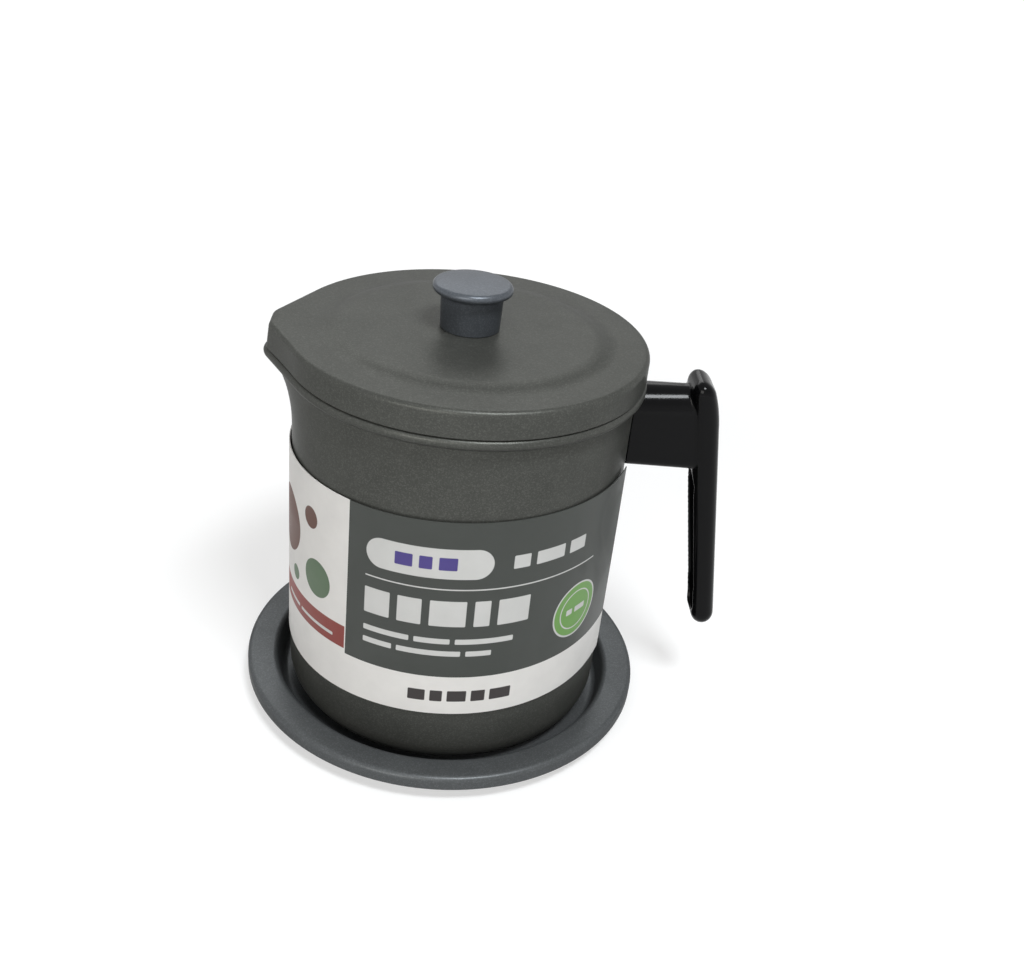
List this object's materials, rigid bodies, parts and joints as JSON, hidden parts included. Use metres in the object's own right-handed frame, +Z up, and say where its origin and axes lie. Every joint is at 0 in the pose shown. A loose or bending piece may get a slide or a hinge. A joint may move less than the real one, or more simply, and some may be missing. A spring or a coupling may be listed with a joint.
{
  "type": "grease pot",
  "caption": "Coated steel grease pot with a pouring lip, black side handle, lift-out strainer, hooded lid with a knob and a drip saucer.",
  "frame": {"origin": "middle of the saucer's flat underside, on the axis of the round pot", "axes": "+Z up through the lid's knob, +X towards the handle, so the pouring lip points to -X"},
  "size_m": [0.1841, 0.1552, 0.1671],
  "materials": {
    "coated_steel": "satin dark grey non-stick coat",
    "coated_saucer": "satin dark grey non-stick coat",
    "knob_coat": "semi-gloss dark grey coat",
    "phenolic": "glossy black moulding",
    "paper": "printed paper",
    "stainless": "satin",
    "insert_brass": "machined"
  },
  "bodies": {
    "saucer": {"saucer": "coated_saucer"},
    "pot": {"pot_body": "coated_steel", "label_sleeve": "paper", "handle_bracket": "stainless", "handle_grip": "phenolic", "handle_screw": "stainless", "handle_washer": "stainless", "handle_nut": "stainless"},
    "strainer": {"strainer_cup": "stainless", "strainer_net": "stainless", "net_ring": "stainless"},
    "lid": {"lid": "coated_steel", "lid_knob": "knob_coat", "knob_insert": "insert_brass", "knob_washer": "stainless", "knob_screw": "stainless"}
  },
  "joints": [
    {"name": "pot_lift", "type": "slide", "parent": "saucer", "child": "pot", "axis": [0, 0, 1], "range_m": [0, 0.06]},
    {"name": "strainer_lift", "type": "slide", "parent": "pot", "child": "strainer", "axis": [0, 0, 1], "range_m": [0, 0.06]},
    {"name": "lid_lift", "type": "slide", "parent": "strainer", "child": "lid", "axis": [0, 0, 1], "range_m": [0, 0.06]}
  ]
}
